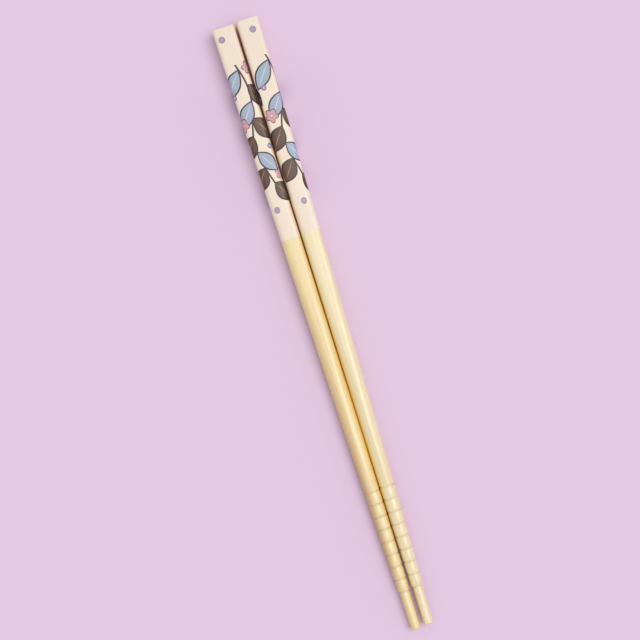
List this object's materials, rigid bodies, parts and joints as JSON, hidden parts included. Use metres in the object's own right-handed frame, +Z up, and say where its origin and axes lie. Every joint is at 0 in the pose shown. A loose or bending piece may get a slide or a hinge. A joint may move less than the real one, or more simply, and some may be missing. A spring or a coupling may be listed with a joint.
{
  "type": "pair of bamboo chopsticks",
  "caption": "Tapered bamboo chopsticks with square, painted grips, round grooved ends and flat tips, lying side by side for use as an eating utensil.",
  "frame": {"origin": "on the table, under the middle of the pair's footprint", "axes": "+X runs from the handle ends to the tips, +Y to the right as seen from above with the tips nearest, +Z up"},
  "size_m": [0.2406, 0.0184, 0.0087],
  "materials": {
    "lacquered_bamboo": "clear glossy lacquer over straight-grained bamboo, with a cream painted and printed grip 84 mm long"
  },
  "bodies": {
    "root": {"left_chopstick": "lacquered_bamboo", "right_chopstick": "lacquered_bamboo"}
  },
  "joints": []
}
